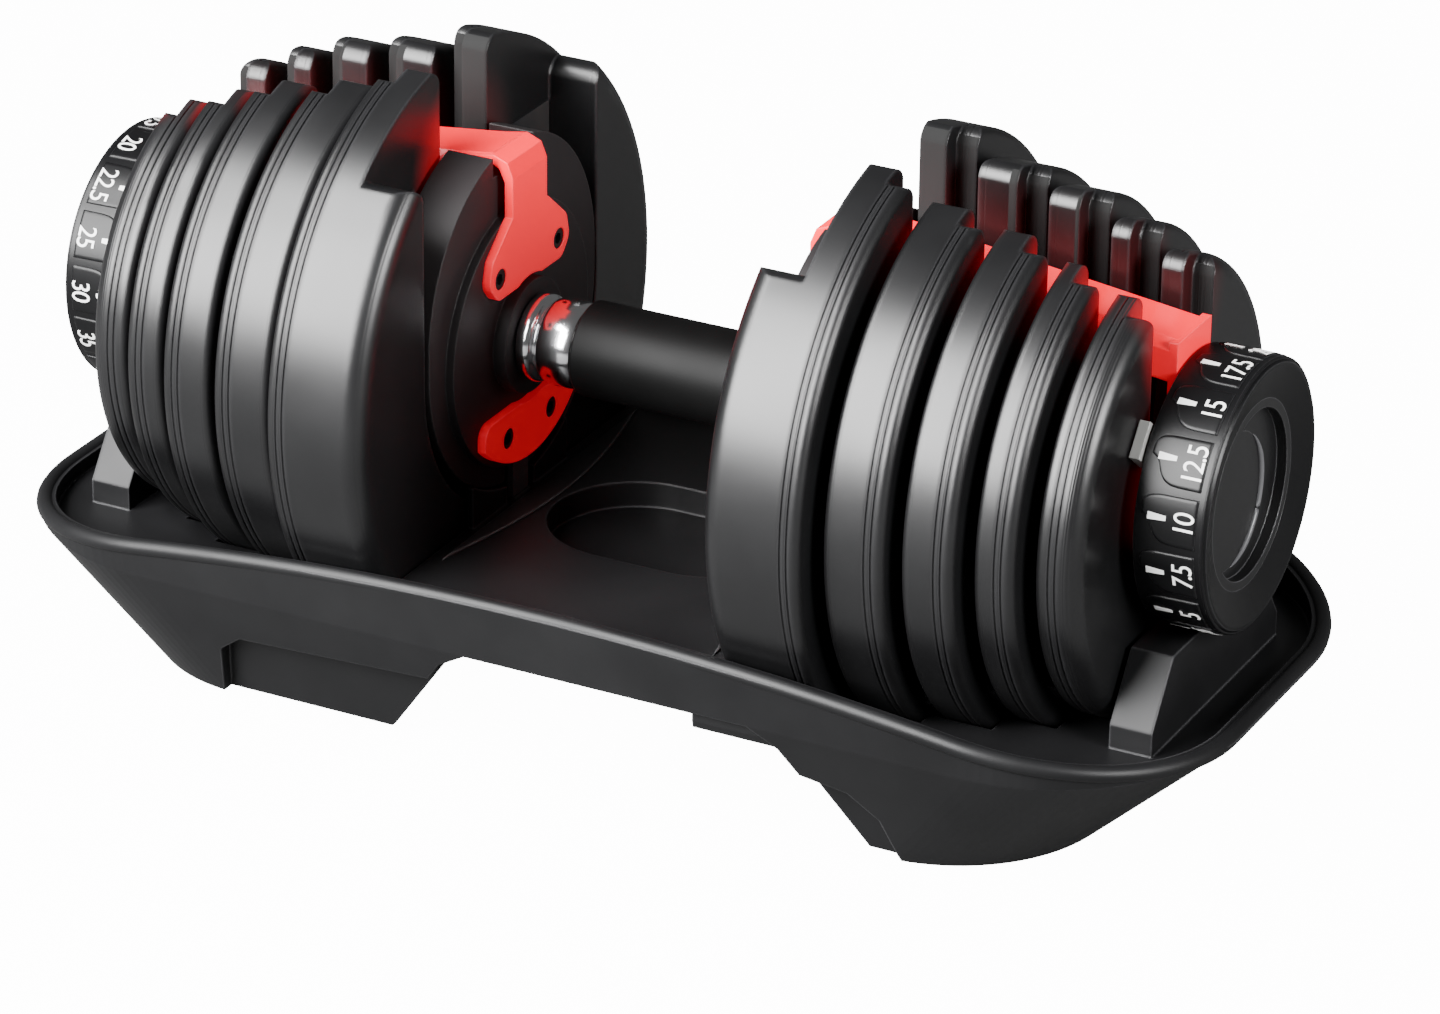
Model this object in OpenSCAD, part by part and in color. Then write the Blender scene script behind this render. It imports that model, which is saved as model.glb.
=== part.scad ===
// Adjustable dumbbell docked in its storage tray.
// Millimetres. X runs along the handle, Y across it, Z up. The tray stands on Z = 0
// and the middle of the tray is at X = 0, Y = 0. Each side is built once, looking
// along +X, and turned half a turn about Z for the other side, so both dials,
// brackets and pointers are the same parts.

/* [Overall] */
// height of the handle axis above the table
axis_height = 108; // [104:0.5:112]
// free length of the handle between the two hub faces
hand_space = 101; // [98:0.5:112]
// number of clicks between the lowest and the highest setting
dial_steps = 14; // [14:1:14]
// click the dials stand at, counted from the lowest setting
dial_click = 3; // [3:1:3]

/* [Grip] */
// outside diameter of the rubber grip
grip_diameter = 31; // [28:0.5:34]
// length of the rubber grip
grip_length = 60; // [50:1:72]
// outside diameter of the chrome collars
ferrule_diameter = 29; // [27:0.5:30]
// outside diameter of the steel tube inside the grip
grip_tube_diameter = 24; // [20:0.5:25]
// diameter of the solid shaft that runs from dial to dial
shaft_diameter = 12; // [10:0.5:12.5]

/* [Plates] */
// radius of the first plate, the one next to the hand
plate_radius_1 = 97; // [93:0.5:98]
// radius of the second plate
plate_radius_2 = 89; // [84:0.5:92]
// radius of the third plate
plate_radius_3 = 85; // [80:0.5:90]
// radius of the fourth plate
plate_radius_4 = 79; // [74:0.5:86]
// radius of the fifth plate
plate_radius_5 = 72.4; // [68:0.2:80]
// thickness of the first plate
plate_width_1 = 33.5; // [32:0.5:38]
// thickness of the second plate
plate_width_2 = 20; // [17:0.5:22]
// thickness of the third plate
plate_width_3 = 17; // [14:0.5:19]
// thickness of the fourth plate
plate_width_4 = 13; // [12:0.5:16]
// thickness of the fifth plate
plate_width_5 = 14; // [14:0.5:18]
// air between neighbouring plates
plate_gap = 4; // [3.6:0.1:5]
// how far the plate circles sit below the handle axis
plate_drop = 4; // [2:0.5:5]
// half width of the open slot in a plate, where the bridge goes down
slot_half_width = 15; // [14.6:0.2:17]
// rounding of the lobe tips beside the slot
lobe_rounding = 6; // [4:0.5:7]
// plastic left over the steel core, on every side of it
cover_wall = 2; // [1.8:0.1:2.4]
// steel thickness in the second plate
core_thickness_2 = 16; // [8:0.5:16]
// steel thickness in the third plate
core_thickness_3 = 13; // [6:0.5:13]
// steel thickness in the fourth plate
core_thickness_4 = 9; // [4:0.5:9]
// steel thickness in the fifth plate
core_thickness_5 = 4.6; // [3:0.2:8]

/* [Guards] */
// radius of the guard disc that closes the inside of the first plate
guard_radius = 54; // [50:0.5:55]
// how much taller than round the guard disc is
guard_stretch = 8; // [4:0.5:10]
// thickness of the guard body behind its face
guard_depth = 19; // [18.5:0.5:20]
// radius of the raised round on the guard face
guard_round_radius = 44; // [42:0.5:47]
// radius of the hub round the handle end
hub_radius = 19; // [17:0.5:20]
// how far the hub stands out towards the hand
hub_height = 4.5; // [3.5:0.5:6]
// running gap between the guard and the first plate
guard_clearance = 2; // [1.5:0.1:3]

/* [Bracket] */
// thickness of the red sheet steel
sheet_thickness = 3; // [2.4:0.1:3.2]
// width of the bridge over the plates
bridge_width = 25; // [22:0.5:26]
// height of the bridge top above the axis at its inner end
bridge_rise = 64; // [61:0.5:68]
// drop of the bridge top from its inner to its outer end
bridge_fall = 14; // [8:0.5:18]
// depth of the two side flanges of the bridge
flange_depth = 13; // [8:0.5:15]
// diameter of the bracket screws
screw_diameter = 5; // [4:0.5:5]

/* [Selector] */
// radius of the selector discs
selector_radius = 21; // [20:0.5:21.5]
// radial thickness of the lip that carries a plate
lip_thickness = 3.5; // [3:0.1:4]
// width of the tab on a plate that the lip catches
tab_width = 5; // [4:0.2:5.6]
// distance across the flats of the six-sided selector tube
hex_flats = 18; // [16:0.5:18]
// play round a turning part
turning_play = 0.05; // [0.02:0.01:0.1]

/* [Lock] */
// how far the lock drops when the dumbbell leaves the tray
lock_drop = 4; // [3:0.5:4]
// width of the lock tooth
lock_tooth_width = 2.6; // [2:0.1:2.8]

/* [Dial] */
// diameter of a dial
dial_diameter = 86; // [80:0.5:90]
// thickness of a dial along the handle
dial_width = 23.2; // [21:0.2:26]
// angle of the pointer above level
pointer_angle = 34; // [20:1:50]

/* [Tray] */
// length of the tray
tray_length = 420; // [410:1:440]
// width of the tray
tray_width = 192; // [188:1:204]
// plan radius of the tray corners
tray_corner = 66; // [50:1:70]
// height of the rim at the middle of the tray
rim_height = 61; // [58:0.5:64]
// radius of the long arc the rim follows
rim_arc = 1150; // [1000:10:1600]
// width of the rim on top
rim_width = 7.5; // [6:0.5:9]
// wall thickness of the tray
tray_wall = 3; // [2.4:0.1:3.4]
// gap between a plate and its seat in the tray
seat_gap = 0.4; // [0.3:0.05:0.8]
// half length of the arch under the middle of the tray
arch_half = 55; // [45:1:60]
// how far the arch is set over towards the right
arch_shift = 25; // [-10:1:28]
// depth of the sunk panels in the feet
foot_recess = 6; // [4:0.5:8]
// diameter of the rubber feet
foot_diameter = 18; // [14:1:22]
// thickness of the rubber feet
foot_height = 3; // [2:0.5:4]

/* [Hidden] */
$fn = 96;
e = 0.01;
H = axis_height;
plate_r = [plate_radius_1, plate_radius_2, plate_radius_3, plate_radius_4, plate_radius_5];
plate_w = [plate_width_1, plate_width_2, plate_width_3, plate_width_4, plate_width_5];
core_t = [0, core_thickness_2, core_thickness_3, core_thickness_4, core_thickness_5];
hub_x = hand_space / 2;                       // hub face, seen from the hand
face_x = hub_x + hub_height;                  // raised round of the guard
guard_x = face_x + 3;                         // guard disc behind the round
guard_back = face_x + guard_depth;
plate_x1 = face_x + 3.5;                      // inner face of the first plate
function plate_in(n) = n == 0 ? plate_x1 : plate_in(n - 1) + plate_w[n - 1] + plate_gap;
function plate_out(n) = plate_in(n) + plate_w[n];
cup_depth = guard_back + guard_clearance - plate_x1;   // the part of plate 1 round the guard
cup_half = guard_radius + guard_clearance;
recess_half = selector_radius + 1.5;          // room for a selector disc in a plate
recess_depth = 7;
slot_low = hex_flats / 2 / cos(30) + 1.6;     // slot radius under the axis
lip_in = selector_radius - lip_thickness;
tab_out = lip_in - 1.5;
leg_x = plate_out(4) + 1;                     // outer leg of the bracket
flange_x = leg_x + sheet_thickness;           // pointer disc outside the leg
dial_x = flange_x + 0.8;                      // skirt of the dial, round the pointer disc
knob_x = flange_x + 3.5;                      // inside of the dial, clear of the pointer disc
dial_out = dial_x + dial_width;
dial_r = dial_diameter / 2;
sleeve_r = hex_flats / 2 + 0.3;               // round parts of the selector tube
sleeve_end = knob_x + 6.5;
web_x = sleeve_end;                           // dial web
shaft_end = sleeve_end + 0.2;
wheel_x = face_x + 7.5;                       // lock wheel and lock plate
wheel_w = 5;
wheel_r = 16;
cavity_x = face_x + 5;
cover_x = guard_back - 3;
step = 24;                                    // degrees between two clicks
settings = [[11, 12, 13, 14],                 // clicks that pick up each plate
            [8, 9, 10, 11, 12, 13, 14],
            [4, 5, 6, 7, 9, 10, 12, 13, 14],
            [2, 3, 6, 7, 8, 10, 11, 13, 14],
            [1, 3, 5, 7, 14]];
head_r = screw_diameter * 0.7;                // screw heads, sunk in the sheet
screw_top = [19, 26];
screw_low = [14, -31];
panel_z = H - 56.6;                           // middle panel of the tray
basin_z = 38;                                 // floor beside the plate wells

// ---- helpers -------------------------------------------------------------
// right side: origin on the handle axis, X outwards. left side: half a turn about Z.
module right_side() { translate([0, 0, H]) children(); }
module left_side() { translate([0, 0, H]) rotate([0, 0, 180]) children(); }
// flat shape drawn in Y and Z, made w thick along X from x
module slab(x, w) { translate([x, 0, 0]) rotate([90, 0, 90]) linear_extrude(height = w) children(); }
// round bar along X
module bar(x, w, r) { translate([x, 0, 0]) rotate([0, 90, 0]) cylinder(h = w, r = r); }
// flat rounded rectangle of half sizes a and b
module rounded(a, b, r) {
  square([2 * a - 2 * r, 2 * b], center = true);
  square([2 * a, 2 * b - 2 * r], center = true);
  for (i = [-1, 1], j = [-1, 1]) translate([i * (a - r), j * (b - r)]) circle(r = r);
}
// upright slot: round bottom of radius s, open to the top
module slot(s, up = 130) {
  circle(r = s);
  translate([-s, 0]) square([2 * s, up]);
}
// what has to go to round the tip of a lobe next to a slot of half width s. The
// rounding crosses the rim and the slot wall at a shallow angle, so that every
// edge of the lobe is a clean corner.
module tip_cut(R, s, r) {
  d = R - r + 0.3;
  yc = s + r - 0.2;
  zc = sqrt(d * d - yc * yc);
  ux = yc / d;
  uz = zc / d;
  translate([0, -plate_drop]) for (m = [0, 1]) mirror([m, 0]) difference() {
    polygon([[yc, zc], [yc + ux * 3 * r, zc + uz * 3 * r], [s - 1, zc + 4 * r], [s - 1, zc]]);
    translate([yc, zc]) circle(r = r);
  }
}

// ---- plates --------------------------------------------------------------
// turned outline of a plate: rounded by fi on the hand side and fo on the dial side
module plate_turned(R, w, fi, fo) {
  rotate([0, 90, 0]) rotate_extrude() difference() {
    union() {
      translate([0, fi]) square([R, w - fi - fo]);
      square([R - fi, fi + e]);
      translate([0, w - fo - e]) square([R - fo, fo + e]);
      intersection() {
        translate([R - fi, fi]) circle(r = fi);
        translate([R - 2 * fi, 0]) square([2 * fi, w - fo]);
      }
      intersection() {
        translate([R - fo, w - fo]) circle(r = fo);
        translate([R - 2 * fo, fi]) square([2 * fo, w]);
      }
    }
    for (k = [0, 1]) translate([R - 0.5, w - fo - 1.6 - 2.2 * k]) square([2, 0.7]);
  }
}
module slot_shape() {
  slot(slot_low);
  polygon([[-slot_low, 8], [slot_low, 8], [slot_half_width, 22], [slot_half_width, 130], [-slot_half_width, 130], [-slot_half_width, 22]]);
}
module plate_cover(n) {
  R = plate_r[n];
  w = plate_w[n];
  x = plate_in(n);
  fi = n == 0 ? 7 : 2.5;
  fo = n == 4 ? 6 : 2.5;
  difference() {
    union() {
      difference() {
        translate([x, 0, -plate_drop]) plate_turned(R, w, fi, fo);
        slab(x - 1, w + 2) slot_shape();
        slab(x - 1, w - recess_depth + 1) tip_cut(R, slot_half_width, lobe_rounding);
        slab(x + w - recess_depth, recess_depth + 1) slot(recess_half);
        slab(x + w - recess_depth, recess_depth + 1) tip_cut(R, recess_half, lobe_rounding);
        if (n == 0) {
          slab(x - 1, cup_depth + 1) { slot(cup_half); translate([0, guard_stretch / 2]) slot(cup_half); }
          slab(x - 1, cup_depth + 1) tip_cut(R, cup_half, lobe_rounding);
        }
      }
      // tab that the lip of the selector disc catches
      slab(x + w - recess_depth - 1, 4.8) translate([-tab_width / 2, -tab_out]) square([tab_width, tab_out - slot_low - 0.3]);
    }
    plate_core(n);
  }
}
module core_shape(R, s) {
  difference() {
    translate([0, -plate_drop]) circle(r = R - cover_wall);
    slot(s + cover_wall + 1);
  }
}
module plate_core(n) {
  R = plate_r[n];
  x = plate_in(n);
  w = plate_w[n];
  if (n == 0) {
    slab(x + 8, cup_depth - 8 + e) intersection() {
      core_shape(R, cup_half + guard_stretch / 2);
      translate([0, -plate_drop - 40]) square([300, 200], center = true);
    }
    slab(x + cup_depth, 8.6) intersection() {
      core_shape(R, recess_half + lobe_rounding);
      translate([0, -plate_drop - 40]) square([300, 200], center = true);
    }
  } else {
    slab(x + (w - core_t[n]) / 2, core_t[n]) intersection() {
      core_shape(R - (n == 4 ? 3 : 1), recess_half + lobe_rounding);
      translate([0, -plate_drop - 40]) square([300, 200], center = true);
    }
  }
}

// ---- handle --------------------------------------------------------------
module handle_shaft() {
  color("silver") difference() {
    translate([0, 0, H]) bar(-shaft_end, 2 * shaft_end, shaft_diameter / 2);
    for (a = [0, 180]) translate([0, 0, H]) rotate([0, 0, a]) bar(shaft_end - 18, 19, shaft_diameter / 3);
  }
}
module grip_tube() {
  color("silver") translate([0, 0, H]) difference() {
    bar(-hub_x - 3, 2 * hub_x + 6, grip_tube_diameter / 2);
    bar(-hub_x - 4, 2 * hub_x + 8, shaft_diameter / 2);
  }
}
module grip_sleeve() {
  r = grip_diameter / 2;
  f = min(1, (r - grip_tube_diameter / 2) / 2);
  color("dimgray") translate([0, 0, H]) rotate([0, 90, 0]) translate([0, 0, -grip_length / 2]) rotate_extrude() union() {
    translate([grip_tube_diameter / 2, 0]) square([r - f - grip_tube_diameter / 2, grip_length]);
    translate([grip_tube_diameter / 2, f]) square([r - grip_tube_diameter / 2, grip_length - 2 * f]);
    translate([r - f, f]) circle(r = f);
    translate([r - f, grip_length - f]) circle(r = f);
  }
}
module ferrule() {
  color("white") difference() {
    bar(grip_length / 2, hub_x - grip_length / 2, ferrule_diameter / 2);
    bar(grip_length / 2 - 1, hub_x - grip_length / 2 + 2, grip_tube_diameter / 2);
  }
}
module guard_outline(r) {
  circle(r = r);
  translate([0, guard_stretch]) circle(r = r);
  translate([-r, 0]) square([2 * r, guard_stretch]);
}
module lock_room() {
  translate([0, -9]) rounded(25.5, 38, 5);
}
module inner_guard() {
  color("dimgray") difference() {
    union() {
      slab(guard_x, guard_back - guard_x) translate([0, 3]) guard_outline(guard_radius);
      bar(face_x, 4, guard_round_radius);
      bar(hub_x, hub_height + 1, hub_radius);
    }
    bar(hub_x - 1, 100, shaft_diameter / 2);
    bar(hub_x - 1, 4, grip_tube_diameter / 2);
    // room for the lock wheel and the lock plate, open to the plates
    slab(cavity_x, 100) lock_room();
    bar(cover_x - 6, 100, sleeve_r + 0.5);
    slab(cover_x, 100) translate([0, -8]) rounded(29, 40.6, 7);
    // way out at the bottom for the lock foot
    slab(face_x + 0.1, 10) translate([-6, -60]) square([12, 22]);
    // notch for the bridge
    slab(face_x - 1, 100) translate([-bridge_width / 2 - 0.5, bridge_rise - 2 * sheet_thickness - 1]) square([bridge_width + 1, 60]);
    // deeper where the flanges of the bridge run down
    slab(guard_back - 9.5, 20) translate([-bridge_width / 2 - 0.5, bridge_rise - flange_depth + 1.5]) square([bridge_width + 1, 30]);
    for (p = [screw_top, [-screw_top[0], screw_top[1]], screw_low, [-screw_low[0], screw_low[1]]])
      translate([0, p[0], p[1]]) bar(face_x - 1, 20, screw_diameter / 2);
  }
}
module guard_cover() {
  color("dimgray") difference() {
    slab(cover_x, 3) translate([0, -8]) rounded(29, 40.6, 7);
    bar(cover_x - 1, 6, sleeve_r + 0.5);
  }
}
// ---- bracket -------------------------------------------------------------
module channel() {
  h = bridge_width / 2;
  t = sheet_thickness;
  polygon([[-h, -flange_depth], [-h, -3], [-h + 3, 0], [h - 3, 0], [h, -3], [h, -flange_depth],
           [h - t, -flange_depth], [h - t, -4], [h - 4, -t], [4 - h, -t], [t - h, -4], [t - h, -flange_depth]]);
}
module bracket() {
  len = leg_x - guard_x;
  tilt = atan(bridge_fall / len);
  top = bridge_rise - 3;
  color("red") difference() {
    union() {
      // arm and ears on the guard face
      slab(face_x - sheet_thickness, sheet_thickness) difference() {
        union() {
          translate([-11, screw_top[1] - 6]) square([22, top - screw_top[1]]);
          offset(r = 5) offset(delta = -5) for (m = [0, 1]) mirror([m, 0]) polygon([[0, screw_top[1] - 7], [screw_top[0] + 2, screw_top[1] - 7], [screw_top[0] + 7, screw_top[1] - 1], [screw_top[0] + 5, screw_top[1] + 7], [11, screw_top[1] + 18], [0, screw_top[1] + 18]]);
        }
        circle(r = hub_radius + 1.5);
      }
      // bend from the arm into the bridge
      rotate([90, 0, 0]) translate([0, 0, -11]) linear_extrude(height = 22) polygon([
        [face_x - sheet_thickness, top - 8], [face_x - sheet_thickness, top - 4], [face_x - 1, top + 1],
        [face_x + 4, bridge_rise], [face_x + 14, bridge_rise - 14 * bridge_fall / len],
        [face_x + 14, bridge_rise - 14 * bridge_fall / len - sheet_thickness], [face_x + 4.6, bridge_rise - sheet_thickness], [face_x + 2, bridge_rise - sheet_thickness - 1.4], [face_x, top - 5.6], [face_x, top - 8]]);
      // bridge
      translate([guard_x + 2, 0, bridge_rise]) rotate([0, tilt, 0]) difference() {
        slab(0, (len - 2 + sheet_thickness / 2) / cos(tilt)) channel();
        rotate([90, 0, 0]) translate([0, 0, -50]) linear_extrude(height = 100)
          polygon([[-5, -60], [-5, -sheet_thickness], [4, -sheet_thickness], [plate_x1 + cup_depth - guard_x + 2, -flange_depth], [plate_x1 + cup_depth - guard_x + 2, -60]]);
      }
      // outer leg with the shaft bearing
      slab(leg_x, sheet_thickness) union() {
        circle(r = 24);
        translate([-bridge_width / 2, 0]) square([bridge_width, bridge_rise - bridge_fall]);
      }
    }
    bar(leg_x - 1, 10, sleeve_r + turning_play);
    for (m = [-1, 1]) translate([0, 17 * m, 0]) bar(leg_x - 1, 10, 2.5);
    for (m = [-1, 1]) translate([0, m * screw_top[0], screw_top[1]]) bar(face_x - sheet_thickness - 1, sheet_thickness + 2, head_r);
  }
}
module lower_bracket() {
  color("red") slab(face_x - sheet_thickness, sheet_thickness) difference() {
    intersection() {
      circle(r = 42);
      translate([0, -36]) rounded(29, 14, 5);
    }
    circle(r = hub_radius + 4);
    for (m = [-1, 1]) translate([m * screw_low[0], screw_low[1]]) circle(r = head_r);
  }
}
module screw_set() {
  for (p = [screw_top, [-screw_top[0], screw_top[1]], screw_low, [-screw_low[0], screw_low[1]]])
    translate([0, p[0], p[1]]) difference() {
      union() {
        bar(face_x - sheet_thickness + 0.4, sheet_thickness - 0.4, head_r);
        bar(face_x - 0.2, 5.2, screw_diameter / 2);
      }
      translate([face_x - sheet_thickness - 1, 0, 0]) rotate([0, 90, 0]) cylinder(h = sheet_thickness + 0.6, r = screw_diameter * 0.4, $fn = 6);
    }
}
module bracket_screws() {
  color("dimgray") {
    right_side() screw_set();
    left_side() screw_set();
  }
}
// block at the pointer: x from and to, radius from and to, width round the dial
module pointer_block(x0, x1, r0, r1, w) {
  rotate([180 - pointer_angle - 4, 0, 0]) translate([x0, r0, -w / 2]) cube([x1 - x0, r1 - r0, w]);
}
module outer_guard() {
  color("dimgray") difference() {
    union() {
      bar(flange_x, 3, dial_r - 5.2);
      for (m = [-1, 1]) translate([0, 17 * m, 0]) bar(leg_x, 4, 2.5);
      // pad that carries the pointer
      pointer_block(leg_x + 0.4, flange_x + 1, dial_r - 15, dial_r - 6, 12);
      // stop for the dial
      slab(flange_x + 1, knob_x + 4 - flange_x - 1) stop_sector(pointer_angle + 180 - 5.5);
    }
    bar(flange_x - 1, 10, sleeve_r + 1);
    pointer_block(leg_x, flange_x, dial_r - 10, dial_r, 20);
  }
}
// an 11 degree block that starts at angle a, measured from +Y towards +Z
module stop_sector(a) {
  intersection() {
    difference() {
      circle(r = dial_r - 8);
      circle(r = dial_r - 13);
    }
    polygon([[0, 0], [80 * cos(a), 80 * sin(a)], [80 * cos(a + 11), 80 * sin(a + 11)]]);
  }
}
module pointer() {
  color("white") pointer_block(leg_x - 0.4, flange_x, dial_r - 10, dial_r + 1.5, 12);
}
module end_screw() {
  bar(shaft_end - 18, 19, shaft_diameter / 3);
  difference() {
    bar(shaft_end, 3.6, sleeve_r - 0.8);
    translate([shaft_end + 1.4, 0, 0]) rotate([0, 90, 0]) cylinder(h = 4, r = 3.5, $fn = 6);
  }
}
module end_screws() {
  color("silver") {
    right_side() end_screw();
    left_side() end_screw();
  }
}
// ---- selector ------------------------------------------------------------
module selector_tube() {
  color("dimgray") difference() {
    union() {
      bar(cavity_x + 0.4, guard_back + 2 - cavity_x - 0.4, sleeve_r);
      slab(wheel_x, wheel_w) difference() {
        circle(r = wheel_r);
        for (k = [0 : 14]) rotate(90 + k * step) translate([wheel_r - 3.7, -lock_tooth_width / 2 - 0.5]) square([6, lock_tooth_width + 1]);
      }
      slab(guard_back + 1, leg_x - 1.2 - guard_back - 1) circle(r = hex_flats / 2 / cos(30), $fn = 6);
      bar(leg_x - 1.2, knob_x - leg_x + 1.2, sleeve_r);
      slab(knob_x, sleeve_end - knob_x) intersection() {
        circle(r = sleeve_r);
        square([2 * sleeve_r - 4, 40], center = true);
      }
    }
    bar(cavity_x - 1, 200, shaft_diameter / 2 + turning_play);
  }
}
module selector_disc(n) {
  out = plate_out(n);
  color("white") difference() {
    union() {
      bar(out - 2.6, 2.4, selector_radius);
      slab(out - recess_depth + 0.8, recess_depth - 2.6) difference() {
        circle(r = selector_radius);
        circle(r = lip_in);
        for (k = [0 : 14]) if (len(search(k, settings[n])) == 0) gap_sector(-90 - step * (k - dial_click));
      }
    }
    slab(out - 12, 20) circle(r = hex_flats / 2 / cos(30), $fn = 6);
  }
}
module gap_sector(a) {
  polygon([[0, 0], for (d = [-12, 0, 12]) [40 * cos(a + d), 40 * sin(a + d)]]);
}
module lock_plate() {
  color("white") difference() {
    union() {
      slab(wheel_x, wheel_w) difference() {
        translate([0, -7.5]) rounded(24.5, 35, 4);
        translate([0, -1]) rounded(18.5, 23, 4);
      }
      slab(wheel_x, wheel_w) translate([-lock_tooth_width / 2, wheel_r + 0.9]) square([lock_tooth_width, 8]);
      // foot that the tray pushes up
      slab(face_x + 0.6, wheel_x - face_x + 1) translate([-5, -44]) square([10, 4.4]);
      slab(face_x + 0.6, 2) translate([-5, -56]) square([10, 14]);
    }
  }
}
// ---- dial ----------------------------------------------------------------
module dial() {
  color("dimgray") difference() {
    union() {
      bar(dial_x, dial_width - 1.5, dial_r);
      translate([dial_out - 1.5, 0, 0]) rotate([0, 90, 0]) cylinder(h = 1.5, r1 = dial_r, r2 = dial_r - 1.5);
    }
    difference() {
      bar(dial_x - 1, web_x - dial_x + 1, dial_r - 4.5);
      bar(knob_x, 20, sleeve_r + 5);
    }
    slab(knob_x - 5, web_x - knob_x + 5) intersection() {
      circle(r = sleeve_r);
      square([2 * sleeve_r - 4, 40], center = true);
    }
    bar(web_x, 30, sleeve_r + 0.4);
    // dished face and the seat of the cap
    translate([dial_out - 3, 0, 0]) rotate([0, 90, 0]) cylinder(h = 4, r1 = dial_r - 13, r2 = dial_r + 1);
    bar(web_x + 5, 30, dial_r - 13);
  }
  color("dimgray") slab(knob_x + 1, web_x - knob_x - 1 + e) stop_sector(pointer_angle + 180 - 5.5 + 12 + step * dial_click);
}
module dial_cap() {
  color("dimgray") difference() {
    bar(web_x + 5, dial_out - 3 - web_x - 5, dial_r - 13);
    // scoop for the fingers
    slab(dial_out - 6.5, 10) difference() {
      circle(r = dial_r - 16);
      translate([-16, 4]) circle(r = dial_r - 21);
    }
    bar(web_x + 4, 2.5, sleeve_r + 0.4);
  }
}
// ---- tray ----------------------------------------------------------------
arch_outline = [for (p = [[-arch_half - 30, -5], [-arch_half - 30, 0], [-arch_half - 4, rim_height - 26], [-arch_half + 6, rim_height - 20], [arch_half - 6, rim_height - 20], [arch_half + 4, rim_height - 26], [arch_half + 30, 0], [arch_half + 30, -5]]) [p[0] + arch_shift, p[1]]];
module tray_plan(a, b, r) { rounded(a, b, r); }
module tray_hull(g) {
  a = tray_length / 2;
  b = tray_width / 2;
  hull() {
    translate([0, 0, 1.5 - g]) linear_extrude(height = 1) tray_plan(a - 44 - g, b - 14 - g, tray_corner - 14 - g);
    translate([0, 0, 41]) linear_extrude(height = 1) tray_plan(a - 1 - g, b - 2.5 - g, tray_corner - g);
    translate([0, 0, rim_height + 2]) linear_extrude(height = 1) tray_plan(a - g, b - g, tray_corner - g);
  }
}
// sunk panels of the two feet, g larger all round
module foot_panels(g) {
  rotate([90, 0, 0]) linear_extrude(height = 400, center = true) {
    polygon([[arch_shift - arch_half + 10, -5], [arch_shift - arch_half + 10, 29 + g], [arch_shift - arch_half - 78, 25 + g], [arch_shift - arch_half - 86 - g, 19 + g], [arch_shift - arch_half - 89 - g, -5]]);
    polygon([[arch_shift + arch_half - 10, -5], [arch_shift + arch_half - 10, 30 + g], [arch_shift + arch_half + 26, 24 + g], [arch_shift + arch_half + 36 + g, 16 + g], [arch_shift + arch_half + 44 + g, -5]]);
  }
}
module under_arc(drop) {
  translate([0, 0, rim_height - rim_arc - drop]) rotate([90, 0, 0]) cylinder(h = 400, r = rim_arc, center = true);
}
module basin(g) {
  translate([0, 0, basin_z - g]) linear_extrude(height = 60) difference() {
    tray_plan(tray_length / 2 - rim_width + g, tray_width / 2 - rim_width + g, tray_corner - rim_width + g);
    square([2 * (plate_x1 - 0.9 - g), 400], center = true);
  }
  translate([0, 0, panel_z - g]) linear_extrude(height = 60)
    square([2 * (plate_x1 - 0.9), tray_width - 2 * rim_width + 2 * g], center = true);
  translate([0, 0, panel_z - 9 - g]) linear_extrude(height = 40) rounded(42 + g, 29 + g, 29 + g - e);
}
module wells(g) {
  for (a = [0, 180]) translate([0, 0, H]) rotate([0, 0, a]) for (n = [0 : 4])
    translate([0, 0, -plate_drop]) bar(plate_in(n) - 0.9 - g, plate_w[n] + 1.8 + 2 * g, plate_r[n] + seat_gap + g);
}
module tray() {
  color("dimgray") union() {
      difference() {
          intersection() {
            union() {
              difference() {
                tray_hull(0);
                // inside, with the sunk panels of the feet left standing
                difference() {
                  tray_hull(tray_wall + 0.5);
                  difference() {
                    foot_panels(tray_wall);
                    tray_hull(foot_recess + tray_wall);
                  }
                }
                rotate([90, 0, 0]) linear_extrude(height = 400, center = true)
                  polygon(arch_outline);
                difference() {
                  foot_panels(0);
                  tray_hull(foot_recess);
                }
              }
              difference() {
                tray_hull(0);
                under_arc(tray_wall + 1);
              }
              intersection() {
                tray_hull(1);
                union() {
                  basin(tray_wall);
                  wells(tray_wall);
                }
              }
              for (i = [-1, 1], j = [-1, 1]) translate([i * 130, j * 66, foot_height]) cylinder(h = 46, r = foot_diameter / 2 + 2);
            }
            under_arc(0);
          }
        basin(0);
        wells(0);
      }
      // ribs that keep the plates apart
      for (a = [0, 180]) rotate([0, 0, a]) {
        for (n = [0 : 3]) intersection() {
          translate([plate_out(n) + 0.9, -58, 30]) cube([plate_gap - 1.8, 116, 26]);
          translate([0, 0, H - plate_drop]) bar(plate_out(n), plate_gap, plate_r[n + 1] - 1.5);
        }
        // seat under the guard disc and seat under the dial
        translate([face_x + 0.6, 0, 0]) difference() {
          union() { for (j = [-1, 1]) translate([0, j * 20 - 11, panel_z - 2]) cube([2, 22, 16]); }
          translate([-1, 0, H + 3]) rotate([0, 90, 0]) cylinder(h = 10, r = guard_radius + seat_gap);
        }
        difference() {
          slab(leg_x + 1, 14) polygon([[-48, basin_z - 2], [-48, 46], [-34, 66], [34, 66], [48, 46], [48, basin_z - 2]]);
          translate([0, 0, H]) bar(leg_x, 20, dial_r + 1);
        }
        // post that pushes the lock up
        translate([face_x + 0.1, -5, panel_z - 2]) cube([2.7, 10, 2.3]);
      }
  }
}
module tray_feet() {
  color("black") for (i = [-1, 1], j = [-1, 1]) translate([i * 130, j * 66, 0]) cylinder(h = foot_height, r = foot_diameter / 2);
}

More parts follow.
